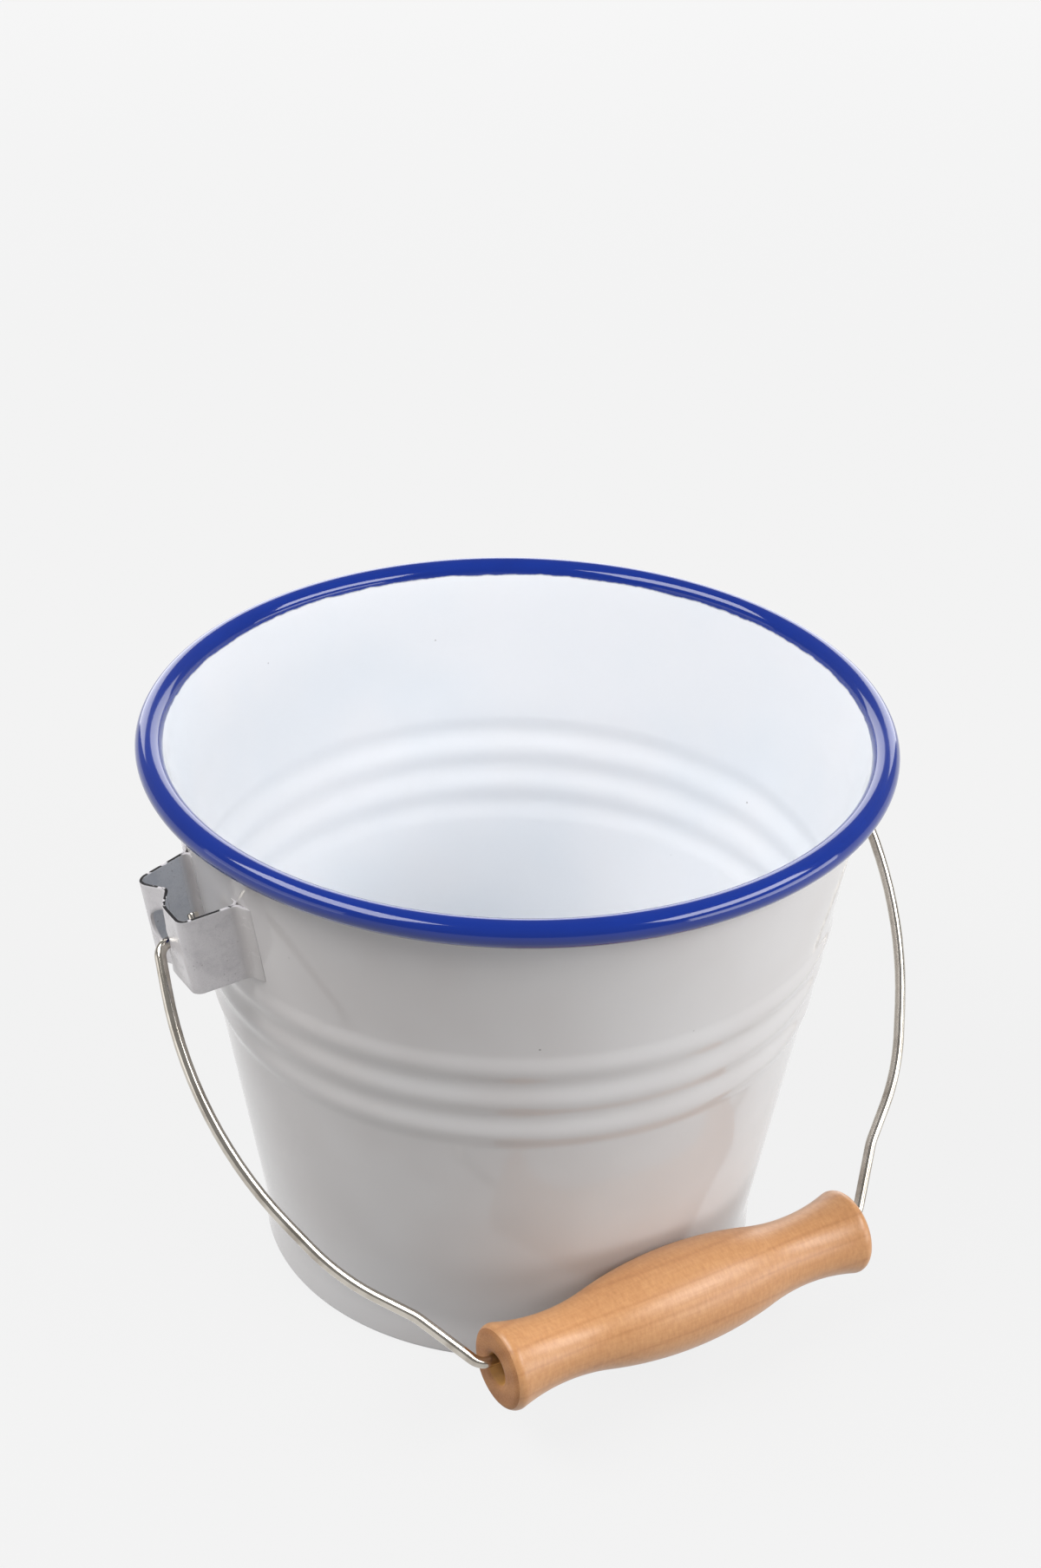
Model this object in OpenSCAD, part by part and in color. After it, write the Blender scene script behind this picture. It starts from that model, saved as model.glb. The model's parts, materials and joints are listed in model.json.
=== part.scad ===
// Enamelled pail with a rolled rim, folded ears, a swinging wire bail and a turned grip.
// Millimetres, +Z up. The pail stands on z = 0 with its axis on Z; the bail swings about
// a line along X and hangs to the front, which is -Y.

/* [Pail] */
// Outside diameter over the rolled rim
rim_d = 240; // [230:1:260]
// Height from the floor to the top of the rim
pail_h = 190; // [180:1:210]
// Outside diameter of the foot
foot_d = 166; // [156:1:176]
// Height of the upright foot skirt
foot_h = 12.6; // [11:0.2:16]
// Rounding between the foot skirt and the conical wall
foot_bend_r = 50; // [20:5:60]
// Thickness of the enamelled sheet
sheet_t = 1; // [0.8:0.1:1.2]
// Outside diameter of the rolled rim bead
bead_d = 8.6; // [7.4:0.2:10]
// Width ground flat under the foot, as a depth taken off the hem
foot_flat = 0.25; // [0.1:0.05:0.4]

/* [Ribs] */
// Number of ribs pressed into the wall
rib_n = 3; // [1:1:4]
// Spacing of the ribs along the wall
rib_pitch = 13.5; // [10:0.5:15]
// Height of each rib
rib_h = 0.9; // [0.4:0.1:1.4]
// Depth of the first rib below the top of the rim
rib_drop = 61.5; // [60:0.5:70]

/* [Bottom pan] */
// Height of the upper face of the pan above the floor
pan_lift = 12; // [10:0.5:13]
// Bend radius at the edge of the pan, on the middle of the sheet
pan_bend_r = 4; // [2:0.5:5]
// Height of the hem that holds the flange of the pan
hem_h = 5.5; // [4:0.5:6]

/* [Ears] */
// Depth of the upper edge of the ear below the top of the rim, at the wall
ear_drop = 25; // [21:0.5:26]
// Height of the ear along the wall
ear_h = 27.4; // [25:0.2:28]
// Width across the front of the ear
ear_w = 29.6; // [26:0.2:36]
// Stand-off of the front from the wall
ear_out = 17.6; // [16:0.2:20]
// Lean of each side of the ear, in degrees
ear_splay = 9.5; // [4:0.5:14]
// Length of each flange lying on the wall
ear_flange = 5.5; // [4.5:0.5:12]
// Thickness of the strap
ear_t = 1; // [0.8:0.1:1.4]
// Bend radius of the strap, on the middle of the sheet
ear_bend_r = 3; // [2:0.5:4]
// Depth of the groove at the upper edge of the ear
groove_top = 4.3; // [3:0.1:5]
// Depth of the groove at the lower edge of the ear
groove_foot = 1.2; // [0.8:0.1:1.6]
// Slope of the sides of the groove, in degrees
groove_slope = 34; // [28:1:42]
// Rounding along the bottom of the groove
groove_r = 2; // [1.5:0.1:3]
// Diameter of the eye for the bail
eye_d = 13; // [11:0.5:13.5]
// Height of the middle of the eye above the lower edge, along the wall
eye_lift = 13.5; // [12.5:0.5:14.5]
// Offset of the eye and its groove from the middle of the ear, to the back
eye_shift = 4; // [0:0.5:4]

/* [Bail] */
// Diameter of the wire
wire_d = 3.6; // [3:0.1:4.4]
// Reach from the pivot to the wire in the grip
bail_reach = 152; // [149:1:176]
// Gap between the arm of the bail and the front of the ear
arm_gap = 0.4; // [0.4:0.1:1.6]
// Angle from straight below at which the wire rests in the eye, to the front
seat_a = 45; // [0:5:60]
// Bend radius of the hook, on the middle of the wire
hook_r = 4.5; // [4:0.1:5]
// Length of the locking tail behind the ear, from the pivot
tail_len = 9; // [7:0.5:10]
// Outward bow of the arm beyond the hook
arm_bow = 8.6; // [5:0.1:12]
// Place of that bow along the bail, as a share of the reach
bow_ratio = 0.36; // [0.32:0.01:0.4]
// Inset of the shoulder from the hook
shoulder_in = 20.1; // [16:0.1:24]
// Place of the shoulder along the bail, as a share of the reach
shoulder_ratio = 0.74; // [0.7:0.01:0.77]
// Bend radius beside the grip, on the middle of the wire
neck_bend_r = 7; // [5:0.5:9]
// Rise of the joggle above the grip
joggle_rise = 20.8; // [17:0.2:24]
// Spread of the joggle to each side
joggle_spread = 15; // [12:0.2:18]
// Bend radius at the top of the joggle
joggle_r = 23; // [12:1:26]

/* [Grip] */
// Length of the grip
grip_len = 135; // [126:1:140]
// Diameter at the middle of the grip
grip_d = 33; // [30:0.5:35]
// Diameter at each neck
neck_d = 22.6; // [20.6:0.2:25]
// Distance between the two necks
neck_span = 91; // [84:1:96]
// Radius of the long curve over the middle
belly_r = 135; // [115:5:155]
// Rounding of the end edges
end_r = 3; // [1:0.5:4]
// Diameter of the bore
bore_d = 10; // [8:0.2:11]
// Chamfer at each mouth of the bore
bore_chamfer = 0.8; // [0.4:0.1:1.2]

/* [Clearances] */
// Gap between sheet pieces that are joined face to face
weld_gap = 0.05; // [0.04:0.01:0.1]
// Gap left where the curl of the rim turns back to the wall
curl_gap = 0.4; // [0.2:0.1:0.8]
// Gap between the wire and the lower edge of the eye
hook_gap = 0.35; // [0.3:0.05:0.6]
// Gap between the wire and the bore of the grip, where the grip hangs
seat_gap = 0.35; // [0.3:0.05:0.6]
// Gap between the grip and the wall when the bail hangs down
rest_gap = 0.35; // [0.3:0.05:0.8]
// Gap between the end of the grip and the bend of the wire
end_gap = 0.6; // [0.4:0.1:2]
// Gap between the wall and the tail of the wire behind the ear
tail_gap = 5; // [4:0.5:6]

/* [Hidden] */
$fn = 96;

enamel_white = [0.86, 0.86, 0.85];
enamel_grey = [0.78, 0.79, 0.80];
plated_steel = [0.72, 0.72, 0.70];
bare_wood = [0.80, 0.59, 0.39];

// Overlap of neighbouring pieces of one section.
lap = 0.05;
// How far a bend of a sheet, or a collar of the wire, stands proud of the straight beside it.
proud = 0.03;
// Length of the collar that joins a straight of the wire to a bend.
collar_len = 0.3;
// How far the sides of the groove reach into the round of its bottom.
groove_lap = 0.01;
// Room for the bend above the foot, over what the bend itself takes.
bend_room = 1.2;
// Bend radius of the hem as a share of its half width.
hem_share = 0.9;
// Part of the shorter straight taken by the bends at the shoulder and at the bow of the arm.
shoulder_share = 0.5;
arm_share = 0.75;

// Wall: its middle line runs from the top of the foot to a tangent of the bead.
bead_c = [rim_d / 2 - bead_d / 2, pail_h - bead_d / 2];
bead_mid_r = bead_d / 2 - sheet_t / 2;
foot_mid = [foot_d / 2 - sheet_t / 2, foot_h];
foot_to_bead = bead_c - foot_mid;
wall_a = atan2(foot_to_bead[0], foot_to_bead[1]) - asin(bead_mid_r / norm(foot_to_bead));
wall_dir = [sin(wall_a), cos(wall_a)];
wall_top = bead_c + bead_mid_r * [-cos(wall_a), sin(wall_a)];
wall_start = foot_mid + bend_room * foot_bend_r * tan(wall_a / 2) * wall_dir;
wall_len = norm(wall_top - wall_start);
curl_sweep = 360 - acos((bead_d / 2 - sheet_t - curl_gap) / (bead_d / 2));

// Radius of the outer face of the wall at height z.
function wall_r(z) = foot_mid[0] + (z - foot_h) * tan(wall_a) + sheet_t / 2 / cos(wall_a);

// Ribs: a row of raised cosine waves along the wall.
rib_steps = 12;
rib_s = (pail_h - rib_drop - wall_start[1]) / cos(wall_a);
rib_lo = rib_s - (rib_n - 0.5) * rib_pitch;
rib_row = [for (i = [0 : rib_n * rib_steps]) rib_lo + i * rib_pitch / rib_steps];
function rib_rise(s) = rib_h * (1 + cos(360 * (s - rib_s) / rib_pitch)) / 2;

// Hem: the foot sheet turns in and up, with room for the flange of the pan.
hem_half = sheet_t + weld_gap;
hem_r = hem_share * hem_half;
hem_mid = foot_mid[0] - 2 * hem_half;
hem_z = sheet_t / 2 - foot_flat;
flange_mid = foot_mid[0] - hem_half;
flange_end = 2 * sheet_t;

// Ear: placed on the outer face of the wall, leaning with it.
ear_z = pail_h - ear_drop - ear_h * cos(wall_a);
ear_x = wall_r(ear_z);
ear_curve = wall_r(pail_h - ear_drop) / cos(wall_a);
ear_mid = [ear_out - ear_t / 2, ear_w / 2 - ear_t / 2];
flange_a = asin((ear_w / 2 + ear_out * tan(ear_splay) + ear_flange / 2) / ear_curve);
side_gap = (ear_mid[0] + ear_curve) * cos(flange_a) + ear_mid[1] * sin(flange_a);
side_len = (side_gap - ear_curve - weld_gap - ear_t / 2) / cos(ear_splay + flange_a);
ear_base = ear_mid + side_len * [-cos(ear_splay), sin(ear_splay)];
ear_end = ear_base + ear_flange * [-sin(flange_a), cos(flange_a)];
groove_a = atan2(groove_top - groove_foot, ear_h);
front_half = ear_w / 2 - ear_bend_r - ear_t / 2;

// Pivot: the wire rests just clear of the lower front edge of the eye.
seat_r = eye_d / 2 - wire_d / 2 - hook_gap;
eye_depth = groove_foot + (groove_top - groove_foot) * eye_lift / ear_h;
eye_u = ear_out - eye_depth - ear_t;
pivot_y = eye_shift - seat_r * sin(seat_a);
pivot_z = ear_z + (eye_lift - seat_r * cos(seat_a)) * cos(wall_a) - eye_u * sin(wall_a);
front_x = ear_x + eye_lift * sin(wall_a) + ear_out * cos(wall_a);

// Bail: one half in its own plane, as [across, along] from the pivot.
bore_drop = bore_d / 2 - wire_d / 2 - seat_gap;
grip_reach = bail_reach + bore_drop;
rest_face = (wall_r(pivot_z) + pivot_y) * cos(wall_a) + grip_d / 2 + rest_gap;
rest_a = asin(rest_face / grip_reach) - wall_a;
joggle_step = [joggle_spread, -joggle_rise];
neck_trim = neck_bend_r * tan(atan2(joggle_rise, joggle_spread) / 2);
hook_x = front_x + wire_d / 2 + arm_gap;
tail_x = wall_r(pivot_z) + wire_d / 2 + tail_gap;
neck_p = [grip_len / 2 + end_gap + neck_trim, bail_reach];
joggle_p = neck_p + joggle_step;
shoulder_p = [hook_x - shoulder_in, shoulder_ratio * bail_reach];
arm_p = [hook_x + arm_bow, bow_ratio * bail_reach];
hook_p = [hook_x, 0];
tail_p = [tail_x, 0];
tail_end = [tail_x, -tail_len];
tail_r = wire_d;
shoulder_r = corner_r(joggle_p, shoulder_p, arm_p, shoulder_share);
arm_r = corner_r(shoulder_p, arm_p, hook_p, arm_share);
half_bail = [neck_p, joggle_p, shoulder_p, arm_p, hook_p, tail_p, tail_end];
half_bends = [neck_bend_r, joggle_r, shoulder_r, arm_r, hook_r, tail_r];

// Grip: a long belly curve meets the two neck curves in a common tangent.
grip_drop = grip_d / 2 - neck_d / 2;
neck_x = neck_span / 2;
curve_sum = (neck_x * neck_x + grip_drop * grip_drop) / (2 * grip_drop);
neck_r = curve_sum - belly_r;
belly_x = neck_x * belly_r / curve_sum;
neck_y = neck_d / 2 + neck_r;
round_x = grip_len / 2 - end_r;
round_y = neck_y - sqrt(pow(neck_r + end_r, 2) - pow(round_x - neck_x, 2));
round_start = round_x - end_r * (round_x - neck_x) / (neck_r + end_r);

// Heading of the step from a to b, and the turn at b on the way from a to c.
function heading(a, b) = atan2(b[1] - a[1], b[0] - a[0]);
function wrapped(a) = a - 360 * floor((a + 180) / 360);
function turn(a, b, c) = wrapped(heading(b, c) - heading(a, b));
// Length a bend of radius r takes from each straight beside b.
function trim(a, b, c, r) = r * tan(abs(turn(a, b, c)) / 2);
// Radius of a bend at b that takes a share of the shorter straight beside it.
function corner_r(a, b, c, share) =
    share * min(norm(b - a), norm(c - b)) / tan(abs(turn(a, b, c)) / 2);
// Length taken at corner i of a path, nothing at its two ends.
function trim_at(p, r, i) =
    (i == 0 || i == len(p) - 1) ? 0 : trim(p[i - 1], p[i], p[i + 1], r[i - 1]);
// Centre of the bend at corner i.
function bend_c(p, r, i) =
    let (h = heading(p[i - 1], p[i]))
    let (s = sign(turn(p[i - 1], p[i], p[i + 1])))
    p[i] - trim_at(p, r, i) * [cos(h), sin(h)] + s * r[i - 1] * [-sin(h), cos(h)];
// Angle at which the bend at corner i begins, counted so that it runs on anticlockwise.
function bend_from(p, i) =
    let (t = turn(p[i - 1], p[i], p[i + 1]))
    t > 0 ? heading(p[i - 1], p[i]) - 90 : heading(p[i], p[i + 1]) + 90;

// Flat sector of a ring, from angle a0 over the sweep, with middle radius r and width t.
module ring_sector(r, t, a0, sweep)
{
    reach = 4 * (r + t);
    intersection() {
        difference() {
            circle(r + t / 2);
            circle(r - t / 2);
        }
        polygon(concat([[0, 0]], [for (i = [0 : 6]) reach * [cos(a0 + sweep * i / 6), sin(a0 + sweep * i / 6)]]));
    }
}

// Section of a folded sheet of thickness t along path p, bent to radius r at its inner corners.
module folded_sheet(p, r, t)
{
    last = len(p) - 2;
    for (i = [0 : last]) {
        h = heading(p[i], p[i + 1]);
        from = trim_at(p, r, i) - (i == 0 ? 0 : lap);
        to = trim_at(p, r, i + 1) - (i == last ? 0 : lap);
        translate(p[i] + from * [cos(h), sin(h)])
            rotate(h)
            translate([0, -t / 2])
            square([norm(p[i + 1] - p[i]) - from - to, t]);
    }
    for (i = [1 : len(p) - 2])
        translate(bend_c(p, r, i))
            ring_sector(r[i - 1], t + 2 * proud, bend_from(p, i), abs(turn(p[i - 1], p[i], p[i + 1])));
}

// Round wire of diameter d along path p in the XY plane, bent to radius r at its inner corners.
// A collar a hair thicker than the wire joins each straight to the bend beside it.
module bent_wire(p, r, d)
{
    last = len(p) - 2;
    for (i = [0 : last]) {
        h = heading(p[i], p[i + 1]);
        step = [cos(h), sin(h)];
        from = trim_at(p, r, i);
        to = trim_at(p, r, i + 1);
        start = from + (i == 0 ? 0 : proud);
        stop = to + (i == last ? 0 : proud);
        translate(p[i] + start * step)
            rotate([0, 90, h])
            cylinder(d = d, h = norm(p[i + 1] - p[i]) - start - stop);
        if (i > 0)
            translate(p[i] + from * step)
                rotate([0, 90, h])
                cylinder(d = d + 2 * proud, h = collar_len, center = true);
        if (i < last)
            translate(p[i + 1] - to * step)
                rotate([0, 90, h])
                cylinder(d = d + 2 * proud, h = collar_len, center = true);
    }
    for (i = [1 : len(p) - 2])
        translate(bend_c(p, r, i))
            rotate([0, 0, bend_from(p, i)])
            rotate_extrude(angle = abs(turn(p[i - 1], p[i], p[i + 1])))
            translate([r[i - 1], 0])
            circle(d = d);
}

// Wall strip with the ribs, drawn along the wall from its lower to its upper end.
module ribbed_strip()
{
    rows = concat([-lap], rib_row, [wall_len + lap]);
    rise = concat([0], [for (s = rib_row) rib_rise(s)], [0]);
    last = len(rows) - 1;
    outer = [for (i = [0 : last]) [rows[i], -sheet_t / 2 - rise[i]]];
    inner = [for (i = [last : -1 : 0]) [rows[i], sheet_t / 2 - rise[i]]];
    translate(wall_start)
        rotate(90 - wall_a)
        polygon(concat(outer, inner));
}

// Half section of the pail wall: hem, foot skirt, cone with ribs, and the curl of the rim.
module wall_section()
{
    foot_path = [[hem_mid, hem_h], [hem_mid, hem_z], [foot_mid[0], hem_z], foot_mid, wall_start];
    folded_sheet(foot_path, [hem_r, hem_r, foot_bend_r], sheet_t);
    ribbed_strip();
    translate(bead_c)
        ring_sector(bead_mid_r, sheet_t, 180 - wall_a - curl_sweep, curl_sweep);
}

module pail_wall()
{
    color(enamel_white)
        rotate_extrude()
        difference() {
            wall_section();
            translate([0, -sheet_t])
                square([rim_d, sheet_t]);
        }
}

module bottom_pan()
{
    level = pan_lift - sheet_t / 2;
    color(enamel_white)
        rotate_extrude()
        folded_sheet([[0, level], [flange_mid, level], [flange_mid, flange_end]], [pan_bend_r], sheet_t);
}

// Groove along the front of the ear, drawn larger all round by the given margin.
module groove(margin)
{
    r = groove_r + margin;
    side = 3 * groove_top;
    foot = (r - groove_lap) * [-cos(groove_slope), sin(groove_slope)];
    top = foot + side * [sin(groove_slope), cos(groove_slope)];
    translate([ear_out - groove_foot + groove_r / cos(groove_a), eye_shift, 0])
        rotate([0, -groove_a, 0])
        translate([0, 0, -ear_t])
        linear_extrude(ear_h + 3 * ear_t)
        union() {
            circle(r);
            polygon([foot, top, [top[0], -top[1]], [foot[0], -foot[1]]]);
        }
}

// One ear on the +X side: a hat-section strap with a groove and an eye for the bail.
module ear()
{
    far = [for (q = [ear_end, ear_base, ear_mid]) [q[0], -q[1]]];
    strap = concat(far, [ear_mid, ear_base, ear_end]);
    bends = [for (i = [1 : 4]) ear_bend_r];
    translate([ear_x, 0, ear_z])
        rotate([0, wall_a, 0])
        difference() {
            union() {
                linear_extrude(ear_h)
                    folded_sheet(strap, bends, ear_t);
                intersection() {
                    groove(ear_t);
                    translate([0, -front_half, 0])
                        cube([ear_out, 2 * front_half, ear_h]);
                }
            }
            groove(0);
            translate([0, eye_shift, eye_lift])
                rotate([0, 90, 0])
                cylinder(d = eye_d, h = ear_out + ear_t);
        }
}

module ear_right()
{
    color(enamel_grey)
        ear();
}

module ear_left()
{
    color(enamel_grey)
        mirror([1, 0, 0])
        ear();
}

// Carries the plane of the bail, with its pivot at the origin, to where it hangs at the front.
module hang()
{
    translate([0, pivot_y, pivot_z])
        rotate([270 - rest_a, 0, 0])
        children();
}

module bail_wire()
{
    last = len(half_bail) - 1;
    left = [for (i = [last : -1 : 0]) [-half_bail[i][0], half_bail[i][1]]];
    left_bends = [for (i = [len(half_bends) - 1 : -1 : 0]) half_bends[i]];
    color(plated_steel)
        hang()
        bent_wire(concat(left, half_bail), concat(left_bends, half_bends), wire_d);
}

// Upper half of one end of the grip, from its middle outwards.
module grip_half_section()
{
    intersection() {
        translate([0, grip_d / 2 - belly_r])
            circle(belly_r);
        translate([-lap, 0])
            square([belly_x + 2 * lap, grip_d / 2]);
    }
    difference() {
        translate([belly_x, 0])
            square([round_start - belly_x, grip_d / 2]);
        translate([neck_x, neck_y])
            circle(neck_r);
    }
    translate([round_x, round_y])
        circle(end_r);
    translate([round_start - lap, 0])
        square([grip_len / 2 - round_start + lap, round_y]);
}

module wooden_grip()
{
    mouth = bore_d / 2 + bore_chamfer;
    end = grip_len / 2;
    past = end + end_gap;
    color(bare_wood)
        hang()
        translate([0, grip_reach, 0])
        rotate([0, 90, 0])
        rotate_extrude()
        rotate(90)
        difference() {
            union() {
                mirror([0, 1])
                    grip_half_section();
                mirror([1, 0])
                    mirror([0, 1])
                    grip_half_section();
            }
            polygon([
                [-past, lap], [-past, -mouth], [-end, -mouth], [-end + bore_chamfer, -bore_d / 2],
                [end - bore_chamfer, -bore_d / 2], [end, -mouth], [past, -mouth], [past, lap]
            ]);
        }
}

pail_wall();
bottom_pan();
ear_left();
ear_right();
bail_wire();
wooden_grip();
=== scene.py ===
# %% [markdown]
# # An enamelled pail with a wire bail
# The real pail is thin steel sheet: a cone with three pressed ribs, a rolled rim, a hem at the
# foot, and two folded ears that hold a bent wire with a turned wooden grip. Everything is under
# glossy enamel, apart from the wire and the wood. The CAD model gives the sizes and the joints,
# so this script only dresses it: it starts by loading that model as a fixed frame.

# %% Load the frame
import json
from math import acos, asin, atan2, cos, hypot, pi, radians, sin, sqrt, tan

import bmesh
import bpy
from mathutils import Matrix, Vector


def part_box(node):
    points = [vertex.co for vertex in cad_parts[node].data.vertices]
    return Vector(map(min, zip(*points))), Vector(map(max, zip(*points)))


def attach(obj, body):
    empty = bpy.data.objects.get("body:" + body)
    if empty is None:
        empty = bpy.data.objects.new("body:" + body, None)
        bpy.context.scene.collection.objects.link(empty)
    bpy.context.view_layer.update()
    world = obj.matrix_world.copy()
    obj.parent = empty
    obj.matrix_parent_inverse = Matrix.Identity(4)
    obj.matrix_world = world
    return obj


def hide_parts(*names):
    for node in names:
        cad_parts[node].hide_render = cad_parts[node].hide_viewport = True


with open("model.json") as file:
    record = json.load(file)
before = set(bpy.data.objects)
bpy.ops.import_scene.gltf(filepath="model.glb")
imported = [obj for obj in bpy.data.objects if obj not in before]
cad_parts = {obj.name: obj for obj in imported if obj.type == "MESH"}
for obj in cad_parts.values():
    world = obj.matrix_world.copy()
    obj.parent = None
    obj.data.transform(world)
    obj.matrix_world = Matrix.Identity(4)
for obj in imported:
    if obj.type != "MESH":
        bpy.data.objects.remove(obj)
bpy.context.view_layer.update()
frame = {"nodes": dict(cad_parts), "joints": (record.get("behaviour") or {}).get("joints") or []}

MM = 0.001
X, Y, Z = Vector((1, 0, 0)), Vector((0, 1, 0)), Vector((0, 0, 1))
print("CAD nodes:", sorted(frame["nodes"]))

# %% [markdown]
# ## Camera
# The camera stands where the photo was taken from. Its place was solved from the ellipse of the
# rim, the edges of the wall and the line of the wire, so it is written as an aim point, a
# distance and a few angles. A camera could also be pointed with a Track To constraint, but a
# matrix made of plain rotations keeps the small roll of a hand-held shot.

# %% Camera
IMAGE_HEIGHT = 1807
FOCAL_PIXELS = 3374.9
SENSOR_HEIGHT = 36.0
RIM_CENTRE_HEIGHT = 185.7 * MM
CAMERA_DISTANCE = 923.5 * MM
CAMERA_AZIMUTH, CAMERA_ELEVATION = radians(-32.053), radians(29.344)
CAMERA_ROLL, CAMERA_YAW, CAMERA_PITCH = radians(1.313), radians(-0.073), radians(1.019)

right = Vector((cos(CAMERA_AZIMUTH), sin(CAMERA_AZIMUTH), 0))
back = Vector((sin(CAMERA_AZIMUTH) * cos(CAMERA_ELEVATION),
               -cos(CAMERA_AZIMUTH) * cos(CAMERA_ELEVATION), sin(CAMERA_ELEVATION)))
level = Matrix((right, back.cross(right), back)).transposed()
aimed = (level @ Matrix.Rotation(CAMERA_YAW, 3, "Y") @ Matrix.Rotation(-CAMERA_PITCH, 3, "X")
         @ Matrix.Rotation(CAMERA_ROLL, 3, "Z"))
camera_place = RIM_CENTRE_HEIGHT * Z + CAMERA_DISTANCE * back

camera_data = bpy.data.cameras.new("camera")
camera_data.sensor_fit = "VERTICAL"
camera_data.sensor_height = SENSOR_HEIGHT
camera_data.lens = FOCAL_PIXELS * SENSOR_HEIGHT / IMAGE_HEIGHT
camera = bpy.data.objects.new("camera", camera_data)
camera.matrix_world = Matrix.Translation(camera_place) @ aimed.to_4x4()
bpy.context.scene.collection.objects.link(camera)
bpy.context.scene.camera = camera
bpy.context.scene.view_settings.view_transform = "Standard"
print("camera lens", round(camera_data.lens, 2), "mm")

# %% [markdown]
# ## Drawing with one operator
# Sheet and wire are made by bending something flat or straight, and `bmesh.ops.spin` does the
# same: with an angle it bends the last edge round a centre, and with only a step it pushes it
# straight on. `follow` walks round the corners of a path with it. A Bevel on each corner would
# also round a path, but here each bend keeps the radius that the CAD model gives it.

# %% Drawing helpers
BEND_STEPS = 10
MERGE = 0.001 * MM


def push(bm, end, way, steps=1):
    """Pushes the end of a drawing straight on and returns the new end."""
    made = bmesh.ops.spin(bm, geom=end, axis=Z, angle=0, dvec=way / steps, steps=steps)
    return made["geom_last"]


def bend(bm, end, centre, axis, angle, steps=BEND_STEPS):
    """Bends the end of a drawing round a centre and returns the new end."""
    made = bmesh.ops.spin(bm, geom=end, cent=centre, axis=axis, angle=angle, steps=steps)
    return made["geom_last"]


def follow(bm, end, path, radii, axis, steps=BEND_STEPS):
    """Draws along the corners of a flat path, with a bend of the given radius at each inner one."""
    at = path[0]
    for before, corner, after, radius in zip(path, path[1:], path[2:], radii):
        way, out = (corner - before).normalized(), (after - corner).normalized()
        turn = atan2(axis.dot(way.cross(out)), way.dot(out))
        trim = radius * tan(abs(turn) / 2)
        start = corner - trim * way
        side = radius if turn > 0 else -radius
        end = push(bm, end, start - at)
        end = bend(bm, end, start + side * axis.cross(way), axis, turn, steps)
        at = corner + trim * out
    return push(bm, end, path[-1] - at)


def lathe(bm, axis, steps):
    """Turns everything drawn so far once round the axis, and closes seams and poles."""
    drawn = bm.verts[:] + bm.edges[:]
    bmesh.ops.spin(bm, geom=drawn, axis=axis, angle=2 * pi, steps=steps, use_merge=True)
    bmesh.ops.remove_doubles(bm, verts=bm.verts, dist=MERGE)
    bmesh.ops.recalc_face_normals(bm, faces=bm.faces)


print("drawing helpers ready")

# %% [markdown]
# ## From a drawing to a piece
# A bmesh is only a drawing in memory. `piece` makes it an object that stands for one node of the
# CAD model and rides on that node's body, so that it moves with the joints. Sheet is drawn as a
# skin, and `thicken` adds a Solidify modifier for its gauge and a Bevel for its cut edges, so
# that the gauge is one number. Blender can't tell the two sides of an open skin apart, so
# `point_out` looks at one face and turns them all round if that one points inwards.

# %% Piece helpers
EDGE_SEGMENTS = 2
EDGE_ANGLE = radians(50)


def piece(bm, name, body, node, materials):
    """Makes an object of the bmesh that stands for a CAD node and rides on its body."""
    mesh = bpy.data.meshes.new(name)
    for face in bm.faces:
        face.smooth = True
    bm.to_mesh(mesh)
    bm.free()
    made = bpy.data.objects.new(name, mesh)
    bpy.context.scene.collection.objects.link(made)
    for material in materials:
        mesh.materials.append(material)
    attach(made, body)
    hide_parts(node)
    print(name, len(mesh.polygons), "faces")
    return made


def thicken(made, thickness, edge):
    """Gives a sheet its thickness, half to each side, and rounds its cut edges."""
    sheet = made.modifiers.new("sheet", "SOLIDIFY")
    sheet.thickness = thickness
    sheet.offset = 0
    sheet.use_even_offset = True
    rounded = made.modifiers.new("edge", "BEVEL")
    rounded.width = edge
    rounded.segments = EDGE_SEGMENTS
    rounded.limit_method = "ANGLE"
    rounded.angle_limit = EDGE_ANGLE


def point_out(bm, face, out):
    """Turns all faces round if the given one points against the way out."""
    if face.normal.dot(out) < 0:
        bmesh.ops.reverse_faces(bm, faces=bm.faces)


print("piece helpers ready")

# %% [markdown]
# ## Shader maths
# A material is a small calculation over the surface. Wiring Math nodes by hand hides it, so one
# class wraps a socket and turns `a * b + 1` into nodes. Any other node comes from `node`, which
# sets the node up first and then fills or links its sockets.

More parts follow.
